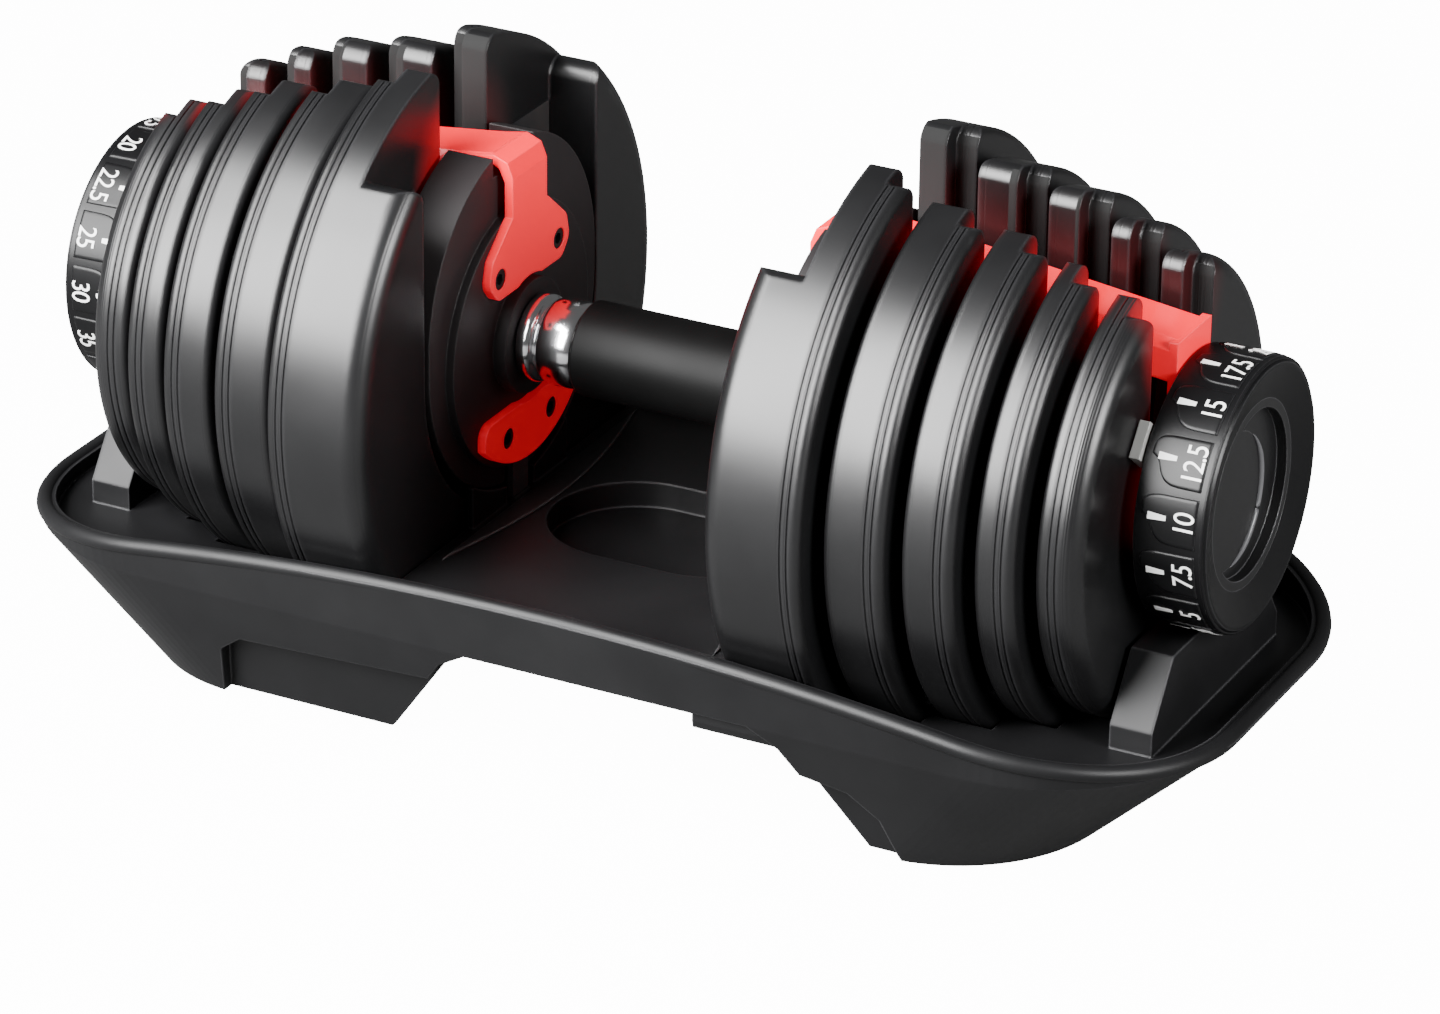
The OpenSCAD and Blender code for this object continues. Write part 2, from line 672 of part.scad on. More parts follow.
// ---- one module per part, then one line per part ---------------------------
module inner_guard_left() { left_side() inner_guard(); }
module inner_guard_right() { right_side() inner_guard(); }
module guard_cover_left() { left_side() guard_cover(); }
module guard_cover_right() { right_side() guard_cover(); }
module bracket_left() { left_side() bracket(); }
module bracket_right() { right_side() bracket(); }
module lower_bracket_left() { left_side() lower_bracket(); }
module lower_bracket_right() { right_side() lower_bracket(); }
module outer_guard_left() { left_side() outer_guard(); }
module outer_guard_right() { right_side() outer_guard(); }
module pointer_left() { left_side() pointer(); }
module pointer_right() { right_side() pointer(); }
module dial_left() { left_side() dial(); }
module dial_right() { right_side() dial(); }
module dial_cap_left() { left_side() dial_cap(); }
module dial_cap_right() { right_side() dial_cap(); }
module selector_tube_left() { left_side() selector_tube(); }
module selector_tube_right() { right_side() selector_tube(); }
module ferrule_left() { left_side() ferrule(); }
module ferrule_right() { right_side() ferrule(); }
module selector_disc_1_left() { left_side() selector_disc(0); }
module selector_disc_1_right() { right_side() selector_disc(0); }
module selector_disc_2_left() { left_side() selector_disc(1); }
module selector_disc_2_right() { right_side() selector_disc(1); }
module selector_disc_3_left() { left_side() selector_disc(2); }
module selector_disc_3_right() { right_side() selector_disc(2); }
module selector_disc_4_left() { left_side() selector_disc(3); }
module selector_disc_4_right() { right_side() selector_disc(3); }
module selector_disc_5_left() { left_side() selector_disc(4); }
module selector_disc_5_right() { right_side() selector_disc(4); }
module plate_1_cover_left() { color("dimgray") left_side() plate_cover(0); }
module plate_1_cover_right() { color("dimgray") right_side() plate_cover(0); }
module plate_2_cover_left() { color("dimgray") left_side() plate_cover(1); }
module plate_2_cover_right() { color("dimgray") right_side() plate_cover(1); }
module plate_3_cover_left() { color("dimgray") left_side() plate_cover(2); }
module plate_3_cover_right() { color("dimgray") right_side() plate_cover(2); }
module plate_4_cover_left() { color("dimgray") left_side() plate_cover(3); }
module plate_4_cover_right() { color("dimgray") right_side() plate_cover(3); }
module plate_5_cover_left() { color("dimgray") left_side() plate_cover(4); }
module plate_5_cover_right() { color("dimgray") right_side() plate_cover(4); }
module plate_1_core_left() { color("silver") left_side() plate_core(0); }
module plate_1_core_right() { color("silver") right_side() plate_core(0); }
module plate_2_core_left() { color("silver") left_side() plate_core(1); }
module plate_2_core_right() { color("silver") right_side() plate_core(1); }
module plate_3_core_left() { color("silver") left_side() plate_core(2); }
module plate_3_core_right() { color("silver") right_side() plate_core(2); }
module plate_4_core_left() { color("silver") left_side() plate_core(3); }
module plate_4_core_right() { color("silver") right_side() plate_core(3); }
module plate_5_core_left() { color("silver") left_side() plate_core(4); }
module plate_5_core_right() { color("silver") right_side() plate_core(4); }
module lock_left() { left_side() lock_plate(); }
module lock_right() { right_side() lock_plate(); }

tray();
tray_feet();
handle_shaft();
grip_tube();
grip_sleeve();
ferrule_left();
ferrule_right();
inner_guard_left();
inner_guard_right();
guard_cover_left();
guard_cover_right();
bracket_left();
bracket_right();
lower_bracket_left();
lower_bracket_right();
outer_guard_left();
outer_guard_right();
pointer_left();
pointer_right();
bracket_screws();
end_screws();
dial_left();
dial_right();
dial_cap_left();
dial_cap_right();
selector_tube_left();
selector_tube_right();
selector_disc_1_left();
selector_disc_1_right();
selector_disc_2_left();
selector_disc_2_right();
selector_disc_3_left();
selector_disc_3_right();
selector_disc_4_left();
selector_disc_4_right();
selector_disc_5_left();
selector_disc_5_right();
plate_1_cover_left();
plate_1_cover_right();
plate_2_cover_left();
plate_2_cover_right();
plate_3_cover_left();
plate_3_cover_right();
plate_4_cover_left();
plate_4_cover_right();
plate_5_cover_left();
plate_5_cover_right();
plate_1_core_left();
plate_1_core_right();
plate_2_core_left();
plate_2_core_right();
plate_3_core_left();
plate_3_core_right();
plate_4_core_left();
plate_4_core_right();
plate_5_core_left();
plate_5_core_right();
lock_left();
lock_right();
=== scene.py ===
# %% [markdown]
# An adjustable dumbbell in its storage tray.  Two heads of five plates sit
# on a steel handle, and a dial on each end picks how many plates come up.
# The solid parts arrive as a ready frame in metres, +X along the handle and
# +Z up.  This lesson dresses them: a material for each real finish, and the
# small parts that are quicker to shape here, such as the printed dial
# numbers, the petals round the dial and the rolled edge of the tray.

# %% Load the frame
import bpy, bmesh
from math import sin, cos, pi, radians, sqrt, atan2
from mathutils import Vector, Matrix


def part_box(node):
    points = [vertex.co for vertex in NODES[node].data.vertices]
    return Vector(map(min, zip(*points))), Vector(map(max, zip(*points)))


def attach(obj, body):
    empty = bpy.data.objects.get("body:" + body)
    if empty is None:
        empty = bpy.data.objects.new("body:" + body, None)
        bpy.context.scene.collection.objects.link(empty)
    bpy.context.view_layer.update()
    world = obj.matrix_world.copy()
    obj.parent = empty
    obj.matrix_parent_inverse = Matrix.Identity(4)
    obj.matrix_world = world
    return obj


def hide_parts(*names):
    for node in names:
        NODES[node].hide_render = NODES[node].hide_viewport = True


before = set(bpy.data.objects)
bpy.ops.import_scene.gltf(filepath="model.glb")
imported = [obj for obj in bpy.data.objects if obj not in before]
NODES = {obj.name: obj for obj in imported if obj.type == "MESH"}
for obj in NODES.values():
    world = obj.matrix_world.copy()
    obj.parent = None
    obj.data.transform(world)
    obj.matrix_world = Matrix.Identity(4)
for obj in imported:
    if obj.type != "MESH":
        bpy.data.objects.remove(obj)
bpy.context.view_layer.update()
MM = 0.001
SIDES = ("left", "right")

# %% [markdown]
# Colours are written as the hex values a screen shows.  A renderer works in
# linear light, so one function turns every hex value into linear numbers,
# and no colour is typed in any other way.

# %% One way to write a colour
def linear(hexa, alpha=1.0):
    out = []
    for i in (1, 3, 5):
        c = int(hexa[i:i + 2], 16) / 255
        out.append(c / 12.92 if c <= 0.04045 else ((c + 0.055) / 1.055) ** 2.4)
    return (*out, alpha)

print("mid grey is", round(linear("#808080")[0], 3), "in linear light")

# %% [markdown]
# A material is a small network of nodes.  One function adds a node of any
# kind, sets it up and links its inputs, which keeps each recipe short enough
# to read as a list of what the surface is made of.

# %% One way to add a node
def add(tree, kind, inputs=None, **settings):
    made = tree.nodes.new(kind)
    for name, value in settings.items():
        setattr(made, name, value)
    for name, value in (inputs or {}).items():
        if isinstance(value, bpy.types.NodeSocket):
            tree.links.new(value, made.inputs[name])
        else:
            made.inputs[name].default_value = value
    return made

def ramp(tree, fac, stops):
    made = add(tree, "ShaderNodeValToRGB", {"Fac": fac})
    bits = made.color_ramp.elements
    while len(bits) < len(stops):
        bits.new(0.5)
    for bit, (at, colour) in zip(bits, stops):
        bit.position, bit.color = at, colour
    return made.outputs["Color"]

def blend_colour(tree, fac, below, above):
    # inputs 0, 6 and 7 of a Mix node set to colour are factor, A and B
    return add(tree, "ShaderNodeMix", {0: fac, 6: below, 7: above}, data_type="RGBA").outputs[2]

# %% [markdown]
# Most of this object is moulded or coated, so its materials share one plan.
# A fine grain stands for the spark-eroded skin of the mould or the orange
# peel of a coating, a slow cloud some centimetres across shifts colour and
# gloss a little, as handling does, and edges are painted a touch paler, part
# rubbed wear and part painted highlight.  Each finish only says how large and
# how strong those are.

# %% The shared plan of a finish
CLOUD_MM = 40.0                  # the size of a thumb's rub

def finish(name, colour, other, rough, rough_by, grain_mm, grain_depth,
           edge=None, edge_mm=0.8, **sockets):
    mat = bpy.data.materials.new(name)
    mat.use_nodes = True
    tree = mat.node_tree
    shader = tree.nodes["Principled BSDF"]
    for key, value in sockets.items():
        shader.inputs[key.replace("_", " ")].default_value = value
    place = add(tree, "ShaderNodeTexCoord").outputs["Object"]
    cloud = add(tree, "ShaderNodeTexNoise", {
        "Vector": place, "Scale": 1000.0 / CLOUD_MM, "Detail": 3.0}).outputs["Fac"]
    grain = add(tree, "ShaderNodeTexNoise", {
        "Vector": place, "Scale": 1000.0 / grain_mm, "Detail": 2.0}).outputs["Fac"]
    tint = ramp(tree, cloud, [(0.35, linear(colour)), (0.65, linear(other))])
    normal = {}
    if edge:
        # how far the rounded normal leans away from the true one marks an edge
        soft = add(tree, "ShaderNodeBevel", {"Radius": edge_mm * MM}, samples=4).outputs["Normal"]
        hard = add(tree, "ShaderNodeNewGeometry").outputs["Normal"]
        lean = add(tree, "ShaderNodeVectorMath", {0: soft, 1: hard},
                   operation="DOT_PRODUCT").outputs["Value"]
        edge_wear_and_highlight = add(tree, "ShaderNodeMapRange", {
            "Value": lean, "From Min": 0.97, "From Max": 0.80,
            "To Min": 0.0, "To Max": 0.75}).outputs["Result"]
        # painted paler edges: part rubbed wear, part painted highlight
        tint = blend_colour(tree, edge_wear_and_highlight, tint, linear(edge))
        normal = {"Normal": soft}
    tree.links.new(tint, shader.inputs["Base Color"])
    gloss = add(tree, "ShaderNodeMapRange", {
        "Value": cloud, "From Min": 0.3, "From Max": 0.7,
        "To Min": rough - rough_by, "To Max": rough + rough_by}).outputs["Result"]
    tree.links.new(gloss, shader.inputs["Roughness"])
    bump = add(tree, "ShaderNodeBump", {
        "Height": grain, "Strength": 0.35, "Distance": grain_depth * MM,
        **normal}).outputs["Normal"]
    tree.links.new(bump, shader.inputs["Normal"])
    print(name, "has a grain of", grain_mm, "mm")
    return mat

def wear(node_name, mat):
    ob = NODES[node_name]
    ob.data.materials.clear()
    ob.data.materials.append(mat)
    for face in ob.data.polygons:
        face.material_index = 0

# %% [markdown]
# The tray is polypropylene, injection moulded in one shot.  The mould was
# spark eroded, so the skin is a fine satin: light spreads wide on it and no
# reflection has a sharp edge.  Its edges are painted paler, part rubbed wear
# and part painted highlight.

# %% Tray and feet
polypropylene = finish("moulded polypropylene, satin", "#0f0f10", "#131314", 0.44, 0.04, 0.9, 0.03,
                       edge="#4a4a4c", edge_mm=1.2, IOR=1.49, Specular_IOR_Level=0.28)
wear("tray", polypropylene)
foot_rubber = finish("nitrile rubber, matte", "#141414", "#1a1a1a", 0.75, 0.05, 1.2, 0.05, IOR=1.52)
wear("tray_feet", foot_rubber)

# %% [markdown]
# Each plate is a steel disc inside a moulded nylon shell.  The shell's tool
# was turned on a lathe, so it carries faint rings near both of its edges,
# and the satin skin gives the broad soft highlight that runs down the head.
# The rings follow the distance along the handle, so each plate gets its own
# copy of the recipe, fed with where that plate starts and ends.

# %% Turned rings in a shell
def from_input(shader, name):
    return shader.inputs[name].links[0].from_socket

# how far in mm each ring stands in from an edge of the shell, its width and its depth
OUTER_RINGS = ((3.2, 0.5, 1.0), (4.4, 0.35, 0.7), (5.2, 0.3, 0.5))
INNER_RINGS = ((2.4, 0.4, 0.4),)

def cut_rings(tree, shader, away, x0, x1):
    rings = [(x1 - inward, width, deep) for inward, width, deep in OUTER_RINGS]
    rings += [(x0 + inward, width, deep) for inward, width, deep in INNER_RINGS]
    height = None
    for at, width, deep in rings:
        off = add(tree, "ShaderNodeMath", {0: away, 1: at * MM}, operation="SUBTRACT").outputs[0]
        near = add(tree, "ShaderNodeMath", {0: off}, operation="ABSOLUTE").outputs[0]
        cut = add(tree, "ShaderNodeMapRange", {
            "Value": near, "From Min": 0.0, "From Max": width * MM,
            "To Min": -deep, "To Max": 0.0}).outputs["Result"]
        if height is None:
            height = cut
        else:
            height = add(tree, "ShaderNodeMath", {0: height, 1: cut}, operation="ADD").outputs[0]
    dent = add(tree, "ShaderNodeBump", {
        "Height": height, "Strength": 0.3, "Distance": 0.25 * MM,
        "Normal": from_input(shader, "Normal")}).outputs["Normal"]
    tree.links.new(dent, shader.inputs["Normal"])

print(len(OUTER_RINGS + INNER_RINGS), "rings a shell")

# %% [markdown]
# The bracket's bridge is bright red and runs through the open slots of the
# plates, so a painted red reflection and a painted red glow lie on the sides
# of the shells near it.  The painted red fades out 34 mm from the bridge, and
# the slot walls take much less of it.

# %% Painted red reflection from the bridge
BRIDGE_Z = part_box("bracket_right")[1].z - 8 * MM
PAINTED_RED_GLOW, RED_FULL_MM, RED_GONE_MM = 0.10, 15, 34
WALL_SHARE, BACK_SHARE = 0.10, 0.10

def paint_red_reflection(tree, shader, parts, side_on, wall_on):
    level = add(tree, "ShaderNodeMath", {0: parts["Z"], 1: BRIDGE_Z},
                operation="SUBTRACT").outputs[0]
    flat = add(tree, "ShaderNodeCombineXYZ", {"Y": parts["Y"], "Z": level}).outputs[0]
    reach = add(tree, "ShaderNodeVectorMath", {0: flat}, operation="LENGTH").outputs["Value"]
    close = add(tree, "ShaderNodeMapRange", {
        "Value": reach, "From Min": RED_FULL_MM * MM, "From Max": RED_GONE_MM * MM,
        "To Min": 1.0, "To Max": 0.0}, interpolation_type="SMOOTHSTEP").outputs["Result"]
    faces = add(tree, "ShaderNodeMath", {0: wall_on, 1: WALL_SHARE, 2: side_on},
                operation="MULTIPLY_ADD").outputs[0]
    # most of it lies on the front half of each head
    front = add(tree, "ShaderNodeMapRange", {
        "Value": parts["Y"], "From Min": -4 * MM, "From Max": 4 * MM,
        "To Min": 1.0, "To Max": BACK_SHARE}).outputs["Result"]
    caught = add(tree, "ShaderNodeMath", {0: close, 1: front}, operation="MULTIPLY").outputs[0]
    painted_red = add(tree, "ShaderNodeMath", {0: caught, 1: faces},
               operation="MULTIPLY", use_clamp=True).outputs[0]
    # painted red reflection in the shell's colour, then a painted red glow as emission
    tree.links.new(blend_colour(tree, painted_red, from_input(shader, "Base Color"), linear("#8c1018")),
                   shader.inputs["Base Color"])
    shader.inputs["Emission Color"].default_value = linear("#c01018")
    lit = add(tree, "ShaderNodeMath", {0: painted_red, 1: PAINTED_RED_GLOW}, operation="MULTIPLY").outputs[0]
    tree.links.new(lit, shader.inputs["Emission Strength"])

print("the bridge's red reaches", RED_GONE_MM, "mm")

# %% [markdown]
# A plate's tip beside the slot is a thin fin with a lower step behind it.
# That step lies in shade, so past the middle of the plate's thickness the
# slot wall is duller and painted nearly black, a painted shade.

# %% Painted shade on the step behind the fin
SLOT_REACH_MM, STEP_FROM, DULLER = 24, 0.52, 0.6

def paint_step_shade(tree, shader, parts, away, wall_on, x0, x1):
    on_wall = add(tree, "ShaderNodeMath", {0: wall_on, 1: 0.5}, operation="GREATER_THAN").outputs[0]
    beside = add(tree, "ShaderNodeMath", {0: parts["Y"]}, operation="ABSOLUTE").outputs[0]
    in_slot = add(tree, "ShaderNodeMath", {0: beside, 1: SLOT_REACH_MM * MM},
                  operation="LESS_THAN").outputs[0]
    past = add(tree, "ShaderNodeMath", {0: away, 1: (x0 + STEP_FROM * (x1 - x0)) * MM},
               operation="GREATER_THAN").outputs[0]
    both = add(tree, "ShaderNodeMath", {0: on_wall, 1: in_slot}, operation="MULTIPLY").outputs[0]
    step = add(tree, "ShaderNodeMath", {0: both, 1: past}, operation="MULTIPLY").outputs[0]
    # painted shade: the wall past the step is painted nearly black
    tree.links.new(blend_colour(tree, step, from_input(shader, "Base Color"), linear("#030303")),
                   shader.inputs["Base Color"])
    dull = add(tree, "ShaderNodeMath", {0: step, 1: DULLER, 2: from_input(shader, "Roughness")},
               operation="MULTIPLY_ADD", use_clamp=True).outputs[0]
    tree.links.new(dull, shader.inputs["Roughness"])

print("slot walls are dull from", STEP_FROM, "of the plate's thickness")

# %% Plate shells
def shell(name, x0, x1):
    mat = finish(name, "#0c0c0d", "#101011", 0.34, 0.03, 0.8, 0.02,
                 edge="#343436", edge_mm=1.8, IOR=1.53)
    tree = mat.node_tree
    shader = tree.nodes["Principled BSDF"]
    place = add(tree, "ShaderNodeTexCoord").outputs["Object"]
    parts = add(tree, "ShaderNodeSeparateXYZ", {0: place}).outputs
    away = add(tree, "ShaderNodeMath", {0: parts["X"]}, operation="ABSOLUTE").outputs[0]
    facing = add(tree, "ShaderNodeNewGeometry").outputs["Normal"]
    lean = add(tree, "ShaderNodeSeparateXYZ", {0: facing}).outputs
    side_on = add(tree, "ShaderNodeMath", {0: lean["X"]}, operation="ABSOLUTE").outputs[0]
    wall_on = add(tree, "ShaderNodeMath", {0: lean["Y"]}, operation="ABSOLUTE").outputs[0]
    cut_rings(tree, shader, away, x0, x1)
    paint_red_reflection(tree, shader, parts, side_on, wall_on)
    paint_step_shade(tree, shader, parts, away, wall_on, x0, x1)
    return mat

for i in range(1, 6):
    low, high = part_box(f"plate_{i}_cover_right")
    skin = shell(f"moulded nylon shell {i}, satin", low.x / MM, high.x / MM)
    for side in SIDES:
        wear(f"plate_{i}_cover_{side}", skin)
    print("plate", i, "from", round(low.x / MM, 1), "to", round(high.x / MM, 1), "mm")

# %% [markdown]
# Inside the shells lie flame-cut steel discs with mill scale on them: dark,
# rough and slightly blue.  They show only in the slots when plates part.

# %% Steel discs
mill_scale = finish("hot rolled steel with mill scale", "#4a4b50", "#5c5a58",
                    0.55, 0.08, 2.5, 0.05, Metallic=1.0)
for i in range(1, 6):
    for side in SIDES:
        wear(f"plate_{i}_core_{side}", mill_scale)

# %% [markdown]
# The guards are glass-filled nylon, browner and flatter than the shells.

# %% Guards
filled_nylon = finish("glass-filled nylon, flat", "#1a1718", "#201c1d", 0.55, 0.04, 0.7, 0.03,
                      edge="#3a3738", edge_mm=0.8, IOR=1.53, Specular_IOR_Level=0.3)
for side in SIDES:
    for part in ("inner_guard", "guard_cover", "outer_guard"):
        wear(f"{part}_{side}", filled_nylon)

# %% [markdown]
# The bent brackets are sheet steel with baked powder enamel.  The coat melts
# into a glossy film over the metal, so it is a saturated red under a clear
# sharp highlight, with a slight orange peel about 2 mm across.  A little
# glow stands in for the light that the white floor throws back on it.

# %% Red brackets
enamel = finish("baked red enamel", "#fa0720", "#ff0c28", 0.36, 0.03, 2.0, 0.02,
                edge="#ff5a5e", edge_mm=0.8, IOR=1.5, Specular_IOR_Level=0.35,
                Coat_Weight=0.06, Coat_Roughness=0.15,
                Emission_Color=linear("#ff0a26"), Emission_Strength=0.30)
for name in ("bracket_left", "bracket_right", "lower_bracket_left", "lower_bracket_right"):
    wear(name, enamel)

# %% [markdown]
# Screws are black oxide steel: a dull metal, dark in the socket.

# %% Screws and pointers
black_oxide = finish("black oxide steel", "#1a1a1b", "#242424", 0.42, 0.05, 1.0, 0.02, Metallic=0.6)
wear("bracket_screws", black_oxide)
pointer_abs = finish("moulded grey ABS", "#8a8a88", "#959592", 0.38, 0.03, 0.8, 0.02,
                     edge="#b4b4b0", edge_mm=0.5, IOR=1.54)
for side in SIDES:
    wear(f"pointer_{side}", pointer_abs)

# %% [markdown]
# The handle is a steel tube in a rubber sleeve, with a polished chrome
# collar at each end.  Chrome is nearly a mirror: its look is the room it
# reflects.  The sleeve is matte and soft, so it only shows a broad sheen.

# %% Handle, collars and grip
chrome = finish("polished chrome plate", "#e4e4e6", "#ececee",
                0.14, 0.02, 3.0, 0.004, Metallic=1.0)
for side in SIDES:
    wear(f"ferrule_{side}", chrome)
turned_steel = finish("turned bright steel", "#b9babd", "#c4c4c6",
                      0.28, 0.05, 1.5, 0.02, Metallic=1.0)
for name in ("handle_shaft", "grip_tube", "end_screws",
             "selector_tube_left", "selector_tube_right"):
    wear(name, turned_steel)
sleeve_rubber = finish("moulded grip rubber, matte", "#060606", "#090909",
                       0.50, 0.05, 0.7, 0.05, IOR=1.45, Specular_IOR_Level=0.12)
wear("grip_sleeve", sleeve_rubber)

# %% Selector discs and locks
acetal = finish("natural acetal", "#c9c6bd", "#d2cfc6", 0.40, 0.04, 1.0, 0.01, IOR=1.48)
lock_nylon = finish("moulded lock nylon", "#38383a", "#424244", 0.42, 0.04, 0.9, 0.02, IOR=1.53)
for side in SIDES:
    for i in range(1, 6):
        wear(f"selector_disc_{i}_{side}", acetal)
    wear(f"lock_{side}", lock_nylon)

# %% [markdown]
# The dials are ABS from a polished mould, a shade glossier than the shells,
# and their caps are the same plastic with a finer satin.

# %% Dials
dial_abs = finish("moulded black ABS, semi-gloss", "#070708", "#0b0b0c", 0.32, 0.03, 0.8, 0.01,
                  edge="#5a5a5c", edge_mm=0.6, IOR=1.54, Specular_IOR_Level=0.22)
cap_abs = finish("moulded black ABS, satin", "#0c0c0d", "#101011", 0.38, 0.03, 0.8, 0.015,
                 edge="#5e5e60", edge_mm=0.6, IOR=1.54)
# the lip's pale grey is a painted highlight
lip_painted_highlight = finish("black ABS, painted highlight", "#4c4c4e", "#5a5a5c", 0.35, 0.03, 0.8, 0.015, IOR=1.54)
print_white = finish("white pad-printing ink", "#f2f2f0", "#fafaf8",
                     0.45, 0.03, 0.6, 0.005, IOR=1.5)
for side in SIDES:
    wear(f"dial_{side}", dial_abs)
    wear(f"dial_cap_{side}", cap_abs)

# %% [markdown]
# What follows is round a dial's axis, so one function carries a point from
# "how far out along the handle, how far from its axis, at what angle" to its
# place.  The left end is the right end turned half a turn about the
# vertical, which keeps the numbers running the right way on both.

# %% From the dial to the world
dial_low, dial_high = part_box("dial_right")
AXIS_Z = (dial_low.z + dial_high.z) / 2
DIAL_R = (dial_high.z - dial_low.z) / 2 / MM
DIAL_IN, DIAL_OUT = dial_low.x / MM, dial_high.x / MM
PITCH = 24.0                     # degrees between two numbers
FIRST = 34.0 - 3 * PITCH         # where the first number stands

def at_dial(side, x, r, angle):
    a = radians(angle)
    y, z = -r * cos(a), r * sin(a)
    if side == "left":
        x, y = -x, -y
    return Vector((x * MM, y * MM, AXIS_Z + z * MM))

def piece(name, verts, faces, mat, body, smooth=True, closed=True):
    mesh = bpy.data.meshes.new(name)
    mesh.from_pydata([tuple(v) for v in verts], [], faces)
    if closed:
        # only a closed shell has an outside; open patches keep the way they were wound
        bm = bmesh.new()
        bm.from_mesh(mesh)
        bmesh.ops.recalc_face_normals(bm, faces=bm.faces)
        bm.to_mesh(mesh)
        bm.free()
    for face in mesh.polygons:
        face.use_smooth = smooth
    ob = bpy.data.objects.new(name, mesh)
    bpy.context.scene.collection.objects.link(ob)
    mesh.materials.append(mat)
    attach(ob, body)
    return ob

print("dial", round(DIAL_R, 1), "mm in radius, from", round(DIAL_IN, 1), "to", round(DIAL_OUT, 1))

# %% [markdown]
# Round the dial stand fifteen raised petals, one for each number.  A petal
# is a patch whose lower and upper edges are curves, so it is built as a
# grid: one row for each place along the axis, running from the lower edge
# to the upper one.  The first rows round over, which catches a fine light.

# %% Petals
# each pair is a place in mm from the petal's inner end and an angle in degrees
LOWER = [(0, 0.5), (1.6, -0.8), (2.9, -2.6), (3.7, -5.7), (4.8, -8.3),
         (6.0, -10.0), (8.0, -11.1), (10.5, -11.4), (18.0, -11.4)]
UPPER = [(0, 4.7), (0.9, 7.0), (2.2, 8.4), (5.2, 9.3), (18.0, 9.7)]
PETAL_IN, PETAL_LONG, RAISE = DIAL_IN + 2.0, 18.0, 0.6
ROUND_MM, MM_PER_DEGREE = 0.35, 0.75     # a rounded edge's width, and a degree on the dial

def edge_at(points, x):
    for (xa, ya), (xb, yb) in zip(points, points[1:]):
        if x <= xb:
            return ya + (yb - ya) * (x - xa) / (xb - xa)
    return points[-1][1]

def rise(gap):
    """The height of a petal at this distance in mm from its nearest edge."""
    return RAISE * min(1, max(0, gap) / ROUND_MM) ** 0.5

def petal_grid(side, centre, verts, faces):
    # rows and columns stand closer together where the patch rounds over
    xs = [0, 0.15, 0.4] + [0.9 + i * 0.95 for i in range(18)] + [17.6, 17.85, 18.0]
    ts = [0, 0.012, 0.035] + [0.08 + i * 0.07 for i in range(13)] + [0.965, 0.988, 1]
    start = len(verts)
    for x in xs:
        lo, hi = edge_at(LOWER, x), edge_at(UPPER, x)
        for t in ts:
            angle = lo + (hi - lo) * t
            gap = min(x, PETAL_LONG - x,
                      (angle - lo) * MM_PER_DEGREE, (hi - angle) * MM_PER_DEGREE)
            verts.append(at_dial(side, PETAL_IN + x, DIAL_R - 0.1 + rise(gap), centre + angle))
    n = len(ts)
    for i in range(len(xs) - 1):
        for j in range(n - 1):
            a = start + i * n + j
            faces.append((a, a + n, a + n + 1, a + 1))

for side in SIDES:
    verts, faces = [], []
    for k in range(15):
        petal_grid(side, FIRST + k * PITCH, verts, faces)
    ob = piece(f"dial_petals_{side}", verts, faces, dial_abs,
               f"dial_{side}", closed=False)
    thick = ob.modifiers.new("skin", "SOLIDIFY")
    thick.thickness, thick.offset = 0.3 * MM, -1
print("15 petals a side,", round(radians(PITCH) * DIAL_R, 1), "mm apart")

# %% [markdown]
# The numbers are pad printed: a soft pad presses a thin film of white ink on
# the finished dial.  Flat lettering is cut into strips 0.6 mm wide and each
# strip is laid on the round, so the ink follows the curve.  Before each
# number stands a white wedge that lines up with the pointer.

# %% Numbers and wedges
NUMBERS = ["5", "7.5", "10", "12.5", "15", "17.5", "20", "22.5", "25",
           "30", "35", "40", "45", "50", "52.5"]
GLYPH_MM = 6.9
FONT_TALL, FONT_WIDE = 0.73, 0.84    # a digit's height at size 1, and its narrowing
STRIP_MM = 0.6

def lettering(words):
    line = bpy.data.curves.new("line", "FONT")
    line.body, line.size, line.align_x, line.offset = words, 1.0, "CENTER", 0.0
    line.space_character = 0.9
    ob = bpy.data.objects.new("line", line)
    bpy.context.scene.collection.objects.link(ob)
    bpy.context.view_layer.update()
    mesh = bpy.data.meshes.new_from_object(ob.evaluated_get(bpy.context.evaluated_depsgraph_get()))
    bm = bmesh.new()
    bm.from_mesh(mesh)
    bmesh.ops.remove_doubles(bm, verts=bm.verts, dist=0.0005)
    grow = GLYPH_MM / FONT_TALL
    wide = grow * FONT_WIDE
    for v in bm.verts:
        v.co = Vector((v.co.x * wide, v.co.y * grow, 0))
    middle = (max(v.co.x for v in bm.verts) + min(v.co.x for v in bm.verts)) / 2
    for v in bm.verts:
        v.co.x -= middle
    for i in range(-14, 15):
        cut = list(bm.verts) + list(bm.edges) + list(bm.faces)
        bmesh.ops.bisect_plane(bm, geom=cut, plane_co=(i * STRIP_MM, 0, 0), plane_no=(1, 0, 0))
    bm.verts.index_update()
    out = ([v.co.copy() for v in bm.verts], [[v.index for v in f.verts] for f in bm.faces])
    bm.free()
    bpy.data.objects.remove(ob)
    return out

INK_MM = 0.12
INK_R = DIAL_R - 0.1 + RAISE + INK_MM
WORDS_AT, WEDGE_AT, WEDGE_STEP = PETAL_IN + 17.3, PETAL_IN + 2.4, 0.98

def degrees_round(mm):
    return mm / DIAL_R * 180 / pi

